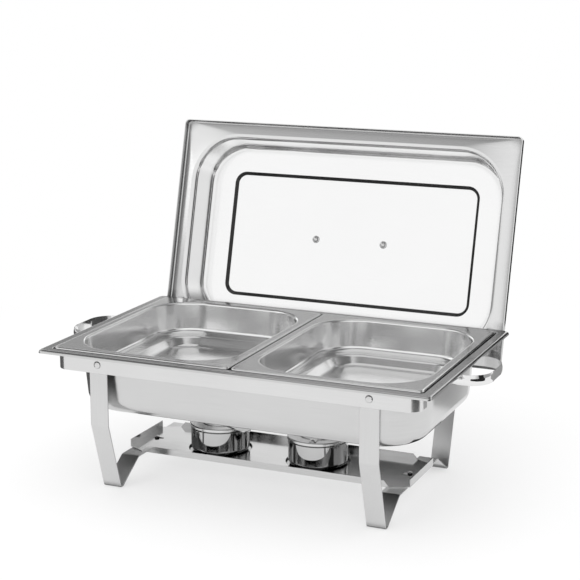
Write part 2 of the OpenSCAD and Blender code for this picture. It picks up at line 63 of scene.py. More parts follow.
def add(tree, kind, settings=None, inputs=None):
    """Adds a shader node, sets its own settings, then sets each input or links it to (node, output)."""
    made = tree.nodes.new("ShaderNode" + kind)
    for key, value in (settings or {}).items():
        setattr(made, key, value)
    for key, value in (inputs or {}).items():
        if isinstance(value, tuple) and isinstance(value[0], bpy.types.Node):
            tree.links.new(value[0].outputs[value[1]], made.inputs[key])
        else:
            made.inputs[key].default_value = value
    return made


def steel_finish(name, light, dark, roughness, spread, line, depth, unshaded_sky=0.7, reach=18 * mm):
    """Stainless steel: polishing lines and broad rolled clouds shift the colour and the gloss a little, and
    painted shade darkens the colour in the tight creases, where little open sky is seen.

    line is the size of one polishing line along X, Y and Z, and depth is how deep the lines are cut; real
    lines are too fine to show, so they are drawn coarser. unshaded_sky is the share of open sky, counted
    within reach, above which no shade is painted.
    """
    cloud, line_share = 90 * mm, 0.6
    pale_from, pale_to = 0.25, 0.75
    shut, darkest = 0.2, 0.04
    material = bpy.data.materials.new(name)
    material.use_nodes = True
    tree = material.node_tree
    tree.nodes.clear()
    place = add(tree, "TexCoord")
    along = add(tree, "Mapping", inputs={
        "Vector": (place, "Object"), "Scale": tuple(1 / size for size in line)})
    lines = add(tree, "TexNoise", inputs={"Vector": (along, "Vector"), "Scale": 1.0, "Detail": 2.0})
    clouds = add(tree, "TexNoise", inputs={"Vector": (place, "Object"), "Scale": 1 / cloud, "Detail": 2.0})
    fine = add(tree, "Math", {"operation": "MULTIPLY"}, {0: (lines, "Fac"), 1: line_share})
    mottle = add(tree, "Math", {"operation": "MULTIPLY_ADD"}, {
        0: (clouds, "Fac"), 1: 1 - line_share, 2: (fine, 0)})
    colour = add(tree, "Mix", {"data_type": "RGBA"}, {0: (mottle, 0), 6: linear(dark), 7: linear(light)})
    gloss = add(tree, "MapRange", inputs={"Value": (mottle, 0), "From Min": pale_from, "From Max": pale_to,
                                          "To Min": roughness + spread, "To Max": roughness - spread})
    relief = add(tree, "Bump", inputs={"Height": (lines, "Fac"), "Strength": 1.0, "Distance": depth})
    # Painted shade: ambient occlusion darkens the colour in creases and gaps, where shade falls.
    crease = add(tree, "AmbientOcclusion", {"samples": 8}, {"Distance": reach})
    crease_shade = add(tree, "MapRange", {"interpolation_type": "SMOOTHSTEP"}, {
        "Value": (crease, "AO"), "From Min": shut, "From Max": unshaded_sky, "To Min": darkest, "To Max": 1.0})
    colour = add(tree, "Mix", {"data_type": "RGBA", "blend_type": "MULTIPLY"}, {
        0: 1.0, 6: (colour, 2), 7: (crease_shade, 0)})
    metal = add(tree, "BsdfPrincipled", inputs={"Base Color": (colour, 2), "Roughness": (gloss, 0),
                                                "Normal": (relief, 0), "Metallic": 1.0})
    add(tree, "OutputMaterial", inputs={"Surface": (metal, 0)})
    return material


def bent_path(corners, radii, steps=8, support=0.6 * mm):
    """Points and left-hand directions along straight runs joined by round bends.

    A bend of radius r that turns by t starts r tan(t/2) before its corner; its points lie on the circle about
    the centre r to the left or right. A support point just before and after keeps the straight runs flat.
    """
    corners = np.asarray(corners, float)
    run = np.diff(corners, axis=0)
    run /= np.linalg.norm(run, axis=1, keepdims=True)
    left = np.stack([-run[:, 1], run[:, 0]], axis=1)
    points, lefts = [corners[:1]], [left[:1]]
    for i, radius in enumerate(radii, start=1):
        before, after = run[i - 1], run[i]
        turn = math.atan2(before[0] * after[1] - before[1] * after[0], before @ after)
        trim = radius * math.tan(abs(turn) / 2)
        centre = corners[i] - trim * before + math.copysign(radius, turn) * left[i - 1]
        t = np.linspace(0, turn, steps + 1)[:, None]
        swung = np.cos(t) * left[i - 1] - np.sin(t) * before
        arc = centre - math.copysign(radius, turn) * swung
        points += [arc[:1] - support * before, arc, arc[-1:] + support * after]
        lefts += [swung[:1], swung, swung[-1:]]
    points.append(corners[-1:])
    lefts.append(left[-1:])
    return np.concatenate(points), np.concatenate(lefts)


def strip_section(thickness, width, edge=0.6 * mm):
    """A rectangle with quarter-round edges, and a support point on each flat beside every edge."""
    t = np.linspace(0, math.pi / 2, 4)
    quarter = np.stack([np.cos(t), np.sin(t)], axis=1) * edge
    quarter = np.concatenate([quarter[:1] - [0, edge], quarter, quarter[-1:] - [edge, 0]])
    corner = np.array([thickness / 2 - edge, width / 2 - edge])
    spins = [np.array([[1, 0], [0, 1]]), np.array([[0, 1], [-1, 0]]),
             np.array([[-1, 0], [0, -1]]), np.array([[0, -1], [1, 0]])]
    signs = [(1, 1), (-1, 1), (-1, -1), (1, -1)]
    return np.concatenate([quarter @ spin + corner * sign for spin, sign in zip(spins, signs)])


def carried(corners, radii, section, basis, origin):
    """A closed section carried along a bent path, with both ends closed at their middle.

    point = origin + (path + section x to the left) in the plane of the first two axes + section y on the
    third.
    """
    path, left = bent_path(corners, radii)
    flat = path[:, None, :] + section[None, :, :1] * left[:, None, :]
    height = np.broadcast_to(section[None, :, 1:], flat.shape[:2] + (1,))
    grid = np.concatenate([flat, height], axis=2) @ np.asarray(basis, float) + origin
    ends = np.broadcast_to(grid[[0, -1]].mean(axis=1, keepdims=True), (2,) + grid.shape[1:])
    return np.concatenate([ends[:1], grid, ends[1:]])


def metal_piece(name, grids, material, lined=()):
    """Makes one closed mesh of the grids: quads join each point to the next in its row and column, each row
    joins its own start, points that coincide are merged, and edges that turn by more than crisp stay hard.

    lined gives further materials, each with the rows, the same in every grid, that wear it.
    """
    crisp, merged = math.radians(50), 0.001 * mm
    points, quads, start = [], [], 0
    for grid in grids:
        index = start + np.arange(grid.shape[0] * grid.shape[1]).reshape(grid.shape[:2])
        ahead = np.roll(index, -1, axis=1)
        quads.append(np.stack([index[:-1], ahead[:-1], ahead[1:], index[1:]], axis=-1).reshape(-1, 4))
        points.append(grid.reshape(-1, 3))
        start += index.size
    mesh = bpy.data.meshes.new(name)
    mesh.from_pydata(np.concatenate(points).tolist(), [], np.concatenate(quads).tolist())
    mesh.materials.append(material)
    worn = np.zeros(len(grids[0]) - 1, np.int32)
    for extra, rows in lined:
        worn[rows] = len(mesh.materials)
        mesh.materials.append(extra)
    if lined:
        faces = np.repeat(np.tile(worn, len(grids)), grids[0].shape[1])
        mesh.polygons.foreach_set("material_index", faces)
    work = bmesh.new()
    work.from_mesh(mesh)
    bmesh.ops.remove_doubles(work, verts=work.verts, dist=merged)
    bmesh.ops.recalc_face_normals(work, faces=work.faces)
    work.to_mesh(mesh)
    work.free()
    mesh.shade_smooth()
    mesh.set_sharp_from_angle(angle=crisp)
    made = bpy.data.objects.new(name, mesh)
    bpy.context.scene.collection.objects.link(made)
    return made


upright = np.eye(3)
strip = 2 * mm
rail_bend = 17 * mm
# Lines along the strip draw the room's reflection out into soft level bands.
rail_steel = steel_finish("stainless_strip_brushed_lengthwise", "#e2e2e2", "#d2d2d2", 0.20, 0.04,
                          (60 * mm, 0.5 * mm, 0.5 * mm), 0.004 * mm)
for name, side in (("front_rail", -1), ("rear_rail", 1)):
    low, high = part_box(name)
    x = high[0] - strip / 2
    outer, inner = (low[1] + strip / 2, high[1]) if side < 0 else (high[1] - strip / 2, low[1])
    rail = metal_piece(name + "_strip", [carried(
        [(-x, inner), (-x, outer), (x, outer), (x, inner)], [rail_bend] * 2,
        strip_section(strip, high[2] - low[2]), upright, (0, 0, (low[2] + high[2]) / 2))], rail_steel)
    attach(rail, "stand")
    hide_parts(name)

# End handles
# One bowed band at each end, chromium plated and buffed to a mirror, with a crowned outer face.
# Its two long ends are spot-welded inside the rail ends.
grip_half = 50 * mm
grip_bends = [8 * mm, 32 * mm, 32 * mm, 8 * mm]
grip_crown = 1.5 * mm
# A mirror, with hard-edged black and white reflections.
handle_chrome = steel_finish("chromium_plate_buffed", "#eeeeee", "#e2e2e2", 0.07, 0.02,
                             (8 * mm, 8 * mm, 8 * mm), 0.0006 * mm)


def crowned_section(thickness, width, crown):
    """A flat inner face and an outer face bowed as a parabola, lower by the crown at both edges."""
    y = np.linspace(-1, 1, 15)
    bow = np.stack([-thickness / 2 + crown * y ** 2, y * width / 2], axis=1)
    flat = np.stack([np.full_like(y, thickness / 2), -y * width / 2], axis=1)
    return np.concatenate([bow, flat])


for name, side in (("left_handle", -1), ("right_handle", 1)):
    low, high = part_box(name)
    inner, outer = (low[0], high[0]) if side > 0 else (high[0], low[0])
    middle = (low[1] + high[1]) / 2
    x_root, x_bar = inner + side * strip / 2, outer - side * strip / 2
    front, rear = middle - grip_half, middle + grip_half
    path = [(x_root, low[1]), (x_root, front), (x_bar, front),
            (x_bar, rear), (x_root, rear), (x_root, high[1])]
    band = carried(path[::side], grip_bends, crowned_section(strip, high[2] - low[2], grip_crown),
                   upright, (0, 0, (low[2] + high[2]) / 2))
    handle = metal_piece(name + "_band", [band], handle_chrome)
    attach(handle, "stand")
    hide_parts(name)

# Legs
# Each leg is one wide stainless strip, folded in a press brake: upright, knee, foot, flat crossbar, and up
# again. It is brushed along the strip, so the lines run up the uprights.
knee_z, foot_y, foot_flat = 97 * mm, 127 * mm, 6 * mm
bar_y, bar_top = 79 * mm, 30 * mm
leg_bends = [8 * mm, 2 * mm, 2 * mm, 8 * mm]
across = np.roll(upright, -1, axis=0)
# Duller than the rails: an even light grey with faint upright lines.
leg_steel = steel_finish("stainless_strip_brushed_upright", "#dcdcdc", "#cacaca", 0.32, 0.05,
                         (0.5 * mm, 0.8 * mm, 50 * mm), 0.004 * mm)
for name in ("left_leg", "right_leg"):
    low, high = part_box(name)
    middle = (low[1] + high[1]) / 2
    top_y = high[1] - middle - strip / 2
    half = np.array([(-top_y, high[2]), (-top_y, knee_z), (-foot_y - foot_flat / 2, strip / 2),
                     (foot_flat / 2 - foot_y, strip / 2), (-bar_y, bar_top - strip / 2)])
    path = np.concatenate([half, half[::-1] * (-1, 1)])
    leg = metal_piece(name + "_strip", [carried(
        path, leg_bends + leg_bends[::-1], strip_section(strip, high[0] - low[0]), across,
        ((low[0] + high[0]) / 2, middle, 0))], leg_steel)
    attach(leg, name + "_frame")
    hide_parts(name)

# Leg rivets and shelf studs
# Bright stainless rivets with domed heads, set cold through the rail and the leg; the studs are riveted into
# the crossbars and stand up through the shelf.

# Small bright heads with one soft highlight each.
rivet_steel = steel_finish("stainless_rivet_tumbled_bright", "#dedede", "#cccccc", 0.16, 0.04,
                           (3 * mm, 3 * mm, 3 * mm), 0.002 * mm)


def turned(profile, centre, axis, steps=40):
    """A half section of (radius, height) turned round an axis: point = centre + radius on the circle + height
    on the axis. The circle starts square to the axis and to a slanting line."""
    slanting = (0.31, 0.53, 0.79)
    axis = np.asarray(axis, float)
    side = np.cross(axis, slanting)
    side /= np.linalg.norm(side)
    front = np.cross(axis, side)
    angle = np.linspace(0, 2 * math.pi, steps, endpoint=False)
    circle = np.cos(angle)[:, None] * side + np.sin(angle)[:, None] * front
    profile = np.asarray(profile, float)
    return profile[:, None, :1] * circle + profile[:, None, 1:] * axis + np.asarray(centre, float)


def rivet_profile(shank, head, dome, grip, tail, tail_height):
    """Outline of a rivet from its tail to the top of its dome: flat tail, shank, then an elliptic cap."""
    t = np.linspace(0, math.pi / 2, 9)
    cap = np.stack([head * np.cos(t), dome * np.sin(t)], axis=1)
    end = -grip - tail_height
    body = [(0, end), (tail, end), (tail, -grip), (shank, -grip), (shank, 0)]
    return np.concatenate([body, cap])


def seat_shade_rows(outline):
    """The rows of a rivet's or stud's turned outline that wear the painted shade at its seat: the underside
    of the head, which follows the four rows of tail and shank, and the next two rows, at the foot of the
    dome."""
    underside, dome_start = 4, (5, 6)
    return np.isin(np.arange(len(outline) - 1), (underside, *dome_start))


# Painted shade: a dark ring where a head meets its sheet, standing in for the shadow round the head.
rivet_seat_painted_shade = steel_finish("stainless_rivet_seat_painted_shade", "#3c3c3c", "#2a2a2a", 0.35, 0.05,
                          (2 * mm, 2 * mm, 2 * mm), 0.002 * mm)
rivet_shank = 2.5 * mm
rivet_head, rivet_dome, rivet_tail = 2 * rivet_shank, 0.8 * rivet_shank, 1.6 * rivet_shank
low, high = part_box("leg_rivets")
rivet_z = (low[2] + high[2]) / 2
rivet_x = high[0] - rivet_head
rail_front, rail_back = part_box("front_rail")[0][1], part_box("rear_rail")[1][1]
leg_rivet = rivet_profile(rivet_shank, rivet_head, rivet_dome, 2 * strip, rivet_tail, strip)
leg_rivets = metal_piece("leg_rivets_domed", [
    turned(leg_rivet, (x, y, rivet_z), (0, side, 0))
    for x in (-rivet_x, rivet_x) for y, side in ((rail_front, -1), (rail_back, 1))], rivet_steel,
    lined=[(rivet_seat_painted_shade, seat_shade_rows(leg_rivet))])
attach(leg_rivets, "stand")
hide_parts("leg_rivets")

stud_tail = 1 * mm
for name, body in (("left_shelf_stud", "left_leg_frame"), ("right_shelf_stud", "right_leg_frame")):
    low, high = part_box(name)
    centre = ((low[0] + high[0]) / 2, (low[1] + high[1]) / 2, 0)
    radius = (high[0] - low[0]) / 2
    shank, stud_dome, tail_top = radius / 2, radius / 2, low[2] + stud_tail
    t = np.linspace(0, math.pi / 2, 8)
    dome = np.stack([radius * np.cos(t), high[2] - stud_dome * (1 - np.sin(t))], axis=1)
    profile = np.concatenate([[(0, low[2]), (radius, low[2]), (radius, tail_top), (shank, tail_top),
                               (shank, bar_top), (radius, bar_top)], dome])
    stud = metal_piece(name + "_turned", [turned(profile, centre, (0, 0, 1))], rivet_steel,
                       lined=[(rivet_seat_painted_shade, seat_shade_rows(profile))])
    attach(stud, body)
    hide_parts(name)

# Lid hooks
# Two stainless strips, folded and brushed as the legs are, and riveted inside the rear rail. The lid's lower
# edge stands in their upturned ends.
hook_bend = 3 * mm
hook_tip = 13 * mm
hook_head = 1.6 * rivet_shank
for name in ("left_lid_hook", "right_lid_hook"):
    low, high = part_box(name)
    y_in, y_out, z_low = low[1] + strip / 2, high[1] - strip / 2, low[2] + strip / 2
    path = [(y_in, high[2]), (y_in, z_low), (y_out, z_low), (y_out, low[2] + hook_tip)]
    hook = metal_piece(name + "_strip", [carried(
        path, [hook_bend] * 2, strip_section(strip, high[0] - low[0]), across,
        ((low[0] + high[0]) / 2, 0, 0))], leg_steel)
    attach(hook, "stand")
    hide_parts(name)
low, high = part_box("hook_rivets")
hook_rivet = rivet_profile(rivet_shank, hook_head, rivet_dome, 2 * strip, rivet_tail, strip)
hook_x = (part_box("right_lid_hook")[0][0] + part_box("right_lid_hook")[1][0]) / 2
hook_step = high[0] - hook_head - hook_x
hook_rivets = metal_piece("hook_rivets_domed", [
    turned(hook_rivet, (side * hook_x + step, rail_back, rivet_z), (0, 1, 0))
    for side in (-1, 1) for step in (-hook_step, hook_step)], rivet_steel)
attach(hook_rivets, "stand")
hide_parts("hook_rivets")

# Burner shelf
# One blanked sheet, folded up along all four sides and pressed with a round recess for each burner.
# It keeps the plain mill finish it was rolled with. The CAD solid is right as it is.

# A clear but soft picture of the cups and of what hangs over it.
shelf_steel = steel_finish("stainless_sheet_mill_finish", "#d6d6d6", "#c4c4c4", 0.16, 0.05,
                           (40 * mm, 1.2 * mm, 1.2 * mm), 0.001 * mm, unshaded_sky=0.45)
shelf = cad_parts["burner_shelf"]
for place in shelf.material_slots:
    place.material = shelf_steel

# Burner cups, covers, dampers and pins
# Each cup is spun from bright sheet and buffed, with a round foot and a pressed groove under its rim.
# A pressed ring caps it, and a flat damper plate turns on one rivet to close the flame opening.

# Nearly a mirror: tall dark bands at the sides and a bright middle.
cup_steel = steel_finish("stainless_spun_cup_buffed", "#cacaca", "#bcbcbc", 0.06, 0.02,
                         (2 * mm, 2 * mm, 0.4 * mm), 0.001 * mm)
# Softer and lighter than the cup below it, so the ring stands out.
cover_steel = steel_finish("stainless_pressed_ring_satin", "#e0e0e0", "#cecece", 0.24, 0.05,
                           (1.5 * mm, 1.5 * mm, 1.5 * mm), 0.003 * mm)
cup_wall, cup_turns = 1 * mm, 72
groove_width, groove_depth = 2.6 * mm, 1.8 * mm
# Bend radii of the foot, then of the groove's lower edge, bottom and upper edge.
cup_bends = [9 * mm, 0.2 * mm, 0.3 * mm, 0.2 * mm]
flame_radius, cover_bend = 23 * mm, 1.6 * mm
for side in ("left", "right"):
    low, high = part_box(side + "_burner_cup")
    centre = ((low[0] + high[0]) / 2, (low[1] + high[1]) / 2, 0)
    radius = (high[0] - low[0]) / 2
    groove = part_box(side + "_burner_cover")[0][2] - groove_width / 2
    outline, lefts = bent_path(
        [(0, low[2]), (radius, low[2]), (radius, groove - groove_width / 2), (radius - groove_depth, groove),
         (radius, groove + groove_width / 2), (radius, high[2])], cup_bends, support=0.2 * mm)
    wall = np.concatenate([outline, (outline + cup_wall * lefts)[::-1]])
    cup = metal_piece(side + "_burner_cup_spun", [turned(wall, centre, (0, 0, 1), cup_turns)], cup_steel)
    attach(cup, side + "_burner")
    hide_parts(side + "_burner_cup")

    low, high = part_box(side + "_burner_cover")
    radius = (high[0] - low[0]) / 2
    outline, lefts = bent_path([(flame_radius, high[2]), (radius, high[2]), (radius, low[2])], [cover_bend])
    ring = np.concatenate([outline, (outline - cup_wall * lefts)[::-1], outline[:1]])
    cover = metal_piece(side + "_burner_cover_ring", [turned(ring, centre, (0, 0, 1), cup_turns)],
                        cover_steel)
    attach(cover, side + "_burner")
    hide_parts(side + "_burner_cover")

    for node in (side + "_damper", side + "_damper_pin"):
        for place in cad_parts[node].material_slots:
            place.material = cover_steel

# Water pan
# Deep-drawn stainless tub with a sunk seat for the food pans, a flat rim and a turned-down edge.
# The seat lies on the rails. Satin outside, with fine lines along the tub.
sheet = 1 * mm
# An even light grey that fades softly round the foot.
tub_steel = steel_finish("stainless_drawn_tub_satin", "#d6d6d6", "#c6c6c6", 0.19, 0.04,
                         (50 * mm, 30 * mm, 0.6 * mm), 0.003 * mm)


def rounded_loops(length, depth, radius, steps=14):
    """One rounded rectangle for each row: quarter circles about the four corner centres, and a support point
    at a small share of the straight sides from both ends of every quarter."""
    share = 0.02
    length, depth, radius = (np.asarray(v, float)[:, None] for v in (length, depth, radius))
    t = np.linspace(0, math.pi / 2, steps)
    loops = []
    for quarter, (sx, sy) in enumerate(((1, 1), (-1, 1), (-1, -1), (1, -1))):
        a = t + quarter * math.pi / 2
        x = sx * (length / 2 - radius) + radius * np.cos(a)
        y = sy * (depth / 2 - radius) + radius * np.sin(a)
        before, after = (depth, length) if quarter % 2 == 0 else (length, depth)
        lead = share * np.maximum(before - 2 * radius, 0)
        trail = share * np.maximum(after - 2 * radius, 0)
        x = np.concatenate([x[:, :1] + lead * np.sin(a[0]), x, x[:, -1:] - trail * np.sin(a[-1])], axis=1)
        y = np.concatenate([y[:, :1] - lead * np.cos(a[0]), y, y[:, -1:] + trail * np.cos(a[-1])], axis=1)
        loops.append(np.stack([x, y], axis=2))
    return np.concatenate(loops, axis=1)


def drawn_shell(corners, bends, thickness, length, depth, insets, radii):
    """Sheet pressed to a bent half section and carried round a rounded rectangle.

    The section is (inset, height): inset counts inward from the opening, length by depth, and the corner
    radius runs straight between the radii at the given insets. The sheet lies on the left of the section, and
    both skins close over the middle.
    """
    path, left = bent_path(corners, bends)
    skins = np.concatenate([path, (path + thickness * left)[::-1]])
    inset, height = skins[:, 0], skins[:, 1]
    loops = rounded_loops(length - 2 * inset, depth - 2 * inset, np.interp(inset, insets, radii))
    grid = np.concatenate([loops, np.broadcast_to(height[:, None, None], loops.shape[:2] + (1,))], axis=2)
    middle = grid[[0, -1]] * (0, 0, 1)
    return np.concatenate([middle[:1], grid, middle[1:]])


low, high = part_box("water_pan")
rim_middle = (low[1] + high[1]) / 2
rim_length, rim_depth, rim_top = high[0] - low[0], high[1] - low[1], high[2]
rim_width, rim_lip, rim_radius = 14 * mm, 4.9 * mm, 6 * mm
seat_depth, ledge = 3 * mm, 12 * mm
tub_radius, tub_foot, tub_lean = 72 * mm, 20 * mm, math.radians(5)
tub_length, tub_depth = rim_length - 2 * (rim_width + ledge), rim_depth - 2 * (rim_width + ledge)
tub_floor, tub_middle = low[2] + sheet, 130 * mm
seat_z, edge = rim_top - seat_depth, -ledge - rim_width
lean_in = (seat_z - tub_floor) * math.tan(tub_lean)
section = [(tub_middle, tub_floor), (lean_in, tub_floor), (0, seat_z), (-ledge, seat_z), (-ledge, rim_top),
           (edge, rim_top), (edge, rim_top - rim_lip)]
# Bend radii run from the middle of the floor out to the turned edge, and corner radii the other way. From
# wall_out to wall_in the corner radius shrinks by as much as the inset grows.
tub_bends = [tub_foot, 2 * mm, 1 * mm, 1.8 * mm, 4 * mm]
wall_out, wall_in, middle_radius = -4 * mm, 30 * mm, 6 * mm
tub_insets = [edge, -ledge, wall_out, wall_in, tub_middle]
tub_radii = [rim_radius, rim_radius + sheet, tub_radius - wall_out, tub_radius - wall_in, middle_radius]
tub = drawn_shell(section, tub_bends, sheet, tub_length, tub_depth, tub_insets, tub_radii)
water_pan = metal_piece("water_pan_drawn", [tub + (0, rim_middle, 0)], tub_steel)
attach(water_pan, "water_tub")
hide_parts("water_pan")

# Food pans
# Two half-size catering pans, deep drawn, with a ledge above the sunk floor and a flange that rests in the
# seat. They are bright from the drawing tool, with faint draw lines round the walls.

# Light walls with soft streaks; painted shade darkens the colour in the creases round the floor.
pan_steel = steel_finish("stainless_drawn_pan_bright", "#fafafa", "#eeeeee", 0.18, 0.05,
                         (30 * mm, 30 * mm, 1.5 * mm), 0.002 * mm, unshaded_sky=0.75, reach=25 * mm)
pan_flange, pan_lip, pan_radius = 13 * mm, 4.9 * mm, 67 * mm
ledge_depth, floor_depth = 47 * mm, 61 * mm
ledge_width, pan_sheet, pan_middle = 17.9 * mm, 0.9 * mm, 90 * mm
pan_lean, step_lean = math.radians(5), math.radians(35)
foot = ledge_depth * math.tan(pan_lean)
step = foot + ledge_width
sunk = step + (floor_depth - ledge_depth) * math.tan(step_lean)
section = [(pan_middle, -floor_depth), (sunk, -floor_depth), (step, -ledge_depth), (foot, -ledge_depth),
           (0, 0), (-pan_flange, 0), (-pan_flange, -pan_lip)]
pan_bends = [8 * mm, 5 * mm, 9 * mm, 3.5 * mm, 3 * mm]
wall_out, wall_in, edge_width = -5 * mm, 44 * mm, 4 * mm
pan_insets = [-pan_flange, edge_width - pan_flange, wall_out, wall_in, pan_middle]
pan_radii = [rim_radius, rim_radius, pan_radius - wall_out, pan_radius - wall_in, middle_radius]
for side in ("left", "right"):
    low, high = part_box(side + "_food_pan")
    centre = np.array([(low[0] + high[0]) / 2, (low[1] + high[1]) / 2, high[2]])
    open_length, open_depth = high[0] - low[0] - 2 * pan_flange, high[1] - low[1] - 2 * pan_flange
    shell = drawn_shell(section, pan_bends, pan_sheet, open_length, open_depth, pan_insets, pan_radii)
    pan = metal_piece(side + "_food_pan_drawn", [shell + centre], pan_steel)
    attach(pan, side + "_pan")
    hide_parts(side + "_food_pan")

# Lid shell
# Deep-drawn stainless lid standing on its back edge in the hooks, inside to the front: turned edge, gently
# sloping flange, steep wall, and a flat panel pressed a little further out with a sloping step round it.

# A lit copy of the lid's steel: the inside is painted nearly white, standing in for the bright front of the
# room it faces.
lid_inside_painted_light = steel_finish("stainless_drawn_lid_inside_painted_light", "#fafafa", "#f4f4f4", 0.13, 0.03,
                         (40 * mm, 1 * mm, 1 * mm), 0.002 * mm, unshaded_sky=0.9)
# A shaded copy of the lid's steel: the outside is painted greyer than the inside, with clear soft
# reflections.
lid_outside_painted_shade = steel_finish("stainless_drawn_lid_outside_painted_shade", "#d2d2d2", "#c2c2c2", 0.12, 0.03,
                           (40 * mm, 1 * mm, 1 * mm), 0.002 * mm)
# Painted shade: the narrow step round the panel is coloured dark all round, standing in for the dark
# reflection it shows.
lid_step_painted_shade = steel_finish("stainless_lid_step_painted_shade", "#545454", "#424242", 0.25, 0.05,
                          (2 * mm, 2 * mm, 2 * mm), 0.002 * mm)
# A shaded copy of the lid's steel: the flange is painted a shade greyer than the panel, and is a little
# softer.
lid_flange_painted_shade = steel_finish("stainless_drawn_lid_flange_painted_shade", "#e8e8e8", "#dadada", 0.16, 0.04,
                            (40 * mm, 1 * mm, 1 * mm), 0.002 * mm, unshaded_sky=0.9)
lid_tilt = math.radians(15)
lid_lip, lid_flange, lid_radius, flange_fall = 6 * mm, 19 * mm, 7 * mm, 4.5 * mm
dome_height, dome_radius, dome_lean, dome_bend = 50 * mm, 72 * mm, math.radians(7), 7 * mm
dome_foot = dome_bend * math.tan((math.pi / 2 - dome_lean) / 2)
panel_inset, panel_slope, panel_rise, panel_radius = 51.5 * mm, 5 * mm, 4 * mm, 19 * mm
low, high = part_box("lid_shell")
lid_length = high[0] - low[0]
lid_inset, lid_middle = 10 * mm, 145 * mm
lid_depth = rim_depth - 2 * lid_inset
lid_basis = np.array([(1, 0, 0), (0, -math.sin(lid_tilt), -math.cos(lid_tilt)),
                      (0, math.cos(lid_tilt), -math.sin(lid_tilt))])
lid_origin = np.array([0, low[1] + lid_depth / 2 * math.sin(lid_tilt) + lid_lip * math.cos(lid_tilt),
                       high[2] - lid_depth / 2 * math.cos(lid_tilt) - lid_lip * math.sin(lid_tilt)])
shoulder = dome_foot + dome_height * math.tan(dome_lean)
panel_height = dome_height + panel_rise
panel_edge, edge = panel_inset + panel_slope, sheet - lid_flange
section = [(lid_middle, panel_height), (panel_edge, panel_height), (panel_inset, dome_height),
           (shoulder, dome_height), (dome_foot, 0), (edge, flange_fall), (edge, -lid_lip)]
lid_bends = [1.2 * mm, 1.2 * mm, dome_bend, dome_bend, 2.5 * mm]
wall_out, wall_in, edge_width, middle_radius = -3 * mm, 40 * mm, 3 * mm, 2 * mm
lid_insets = [-lid_flange, edge_width - lid_flange, wall_out, wall_in, panel_inset, panel_edge, lid_middle]
lid_radii = [lid_radius, lid_radius, dome_radius - wall_out, dome_radius - wall_in, panel_radius,
             panel_radius - panel_slope, middle_radius]
lid_grid = drawn_shell(section, lid_bends, -sheet, lid_length - 2 * lid_flange, lid_depth - 2 * lid_flange,
                       lid_insets, lid_radii)
rise = (lid_grid[1:, 0, 2] + lid_grid[:-1, 0, 2]) / 2
margin = 0.1 * mm
outside_rows = np.arange(len(rise)) > len(rise) / 2
step_shade_rows = (rise > dome_height + margin) & (rise < panel_height - margin) & ~outside_rows
flange_rows = (rise < flange_fall) & ~outside_rows
lid_shell = metal_piece("lid_shell_drawn", [lid_grid @ lid_basis + lid_origin], lid_inside_painted_light, lined=[
    (lid_step_painted_shade, step_shade_rows), (lid_flange_painted_shade, flange_rows), (lid_outside_painted_shade, outside_rows)])
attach(lid_shell, "lid")
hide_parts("lid_shell")

# Lid handle, screws and washers
# A bowed strip handle on the outside, chromium plated, held from inside by two pan-head screws on sealing
# washers that thread into a boss on each foot.
screw_half, bow_pad, bow_height, bow_width = 55 * mm, 11 * mm, 34 * mm, 18 * mm
bow_slope, bow_bends = 12 * mm, [5 * mm, 12 * mm, 12 * mm, 5 * mm]
boss_radius, boss_height, boss_edge = 5 * mm, 7 * mm, 1 * mm
top = panel_height + sheet
pad_z, bar_z = top + strip / 2, top + bow_height - strip / 2
inner, outer = screw_half - bow_pad, screw_half + bow_pad
path = [(-outer, pad_z), (-inner, pad_z), (bow_slope - inner, bar_z), (inner - bow_slope, bar_z),
        (inner, pad_z), (outer, pad_z)]
bow = carried(path, bow_bends, strip_section(strip, bow_width), lid_basis[[0, 2, 1]], lid_origin)
boss, _ = bent_path([(boss_radius, 0), (boss_radius, boss_height), (0, boss_height)], [boss_edge])
boss = np.concatenate([[(0, 0)], boss])
bosses = [turned(boss, (side * screw_half, 0, top) @ lid_basis + lid_origin, lid_basis[2])
          for side in (-1, 1)]
lid_handle = metal_piece("lid_handle_bow", [bow] + bosses, handle_chrome)
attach(lid_handle, "lid")
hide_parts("lid_handle")

screw_shank, screw_head, screw_dome, screw_end = 2 * mm, 4 * mm, 2.4 * mm, 1 * mm
washer, washer_hole, washer_radius = 1 * mm, 2.05 * mm, 5.5 * mm
bevel_in, bevel_up = 0.5 * mm, 0.4 * mm
screw = rivet_profile(screw_shank, screw_head, screw_dome, washer + sheet + strip, screw_shank, screw_end)
lid_screws = metal_piece("lid_screws_pan_head", [
    turned(screw, (side * screw_half, 0, panel_height - washer) @ lid_basis + lid_origin, -lid_basis[2])
    for side in (-1, 1)], rivet_steel, lined=[(rivet_seat_painted_shade, seat_shade_rows(screw))])
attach(lid_screws, "lid")
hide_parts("lid_screws")
ring = [(washer_hole, 0), (washer_radius - bevel_in, 0), (washer_radius, bevel_up), (washer_radius, washer),
        (washer_hole, washer), (washer_hole, 0)]
lid_washers = metal_piece("lid_washers_flat", [
    turned(ring, (side * screw_half, 0, panel_height - washer) @ lid_basis + lid_origin, lid_basis[2])
    for side in (-1, 1)], cover_steel)
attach(lid_washers, "lid")
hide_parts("lid_washers")

# Studio
# White paper floor and background, a white band of light round the room under a dark ceiling, two softboxes,
# and black and grey cards that draw the dark lines the polished steel reflects.
scene = bpy.context.scene
scene.view_settings.view_transform = "Standard"
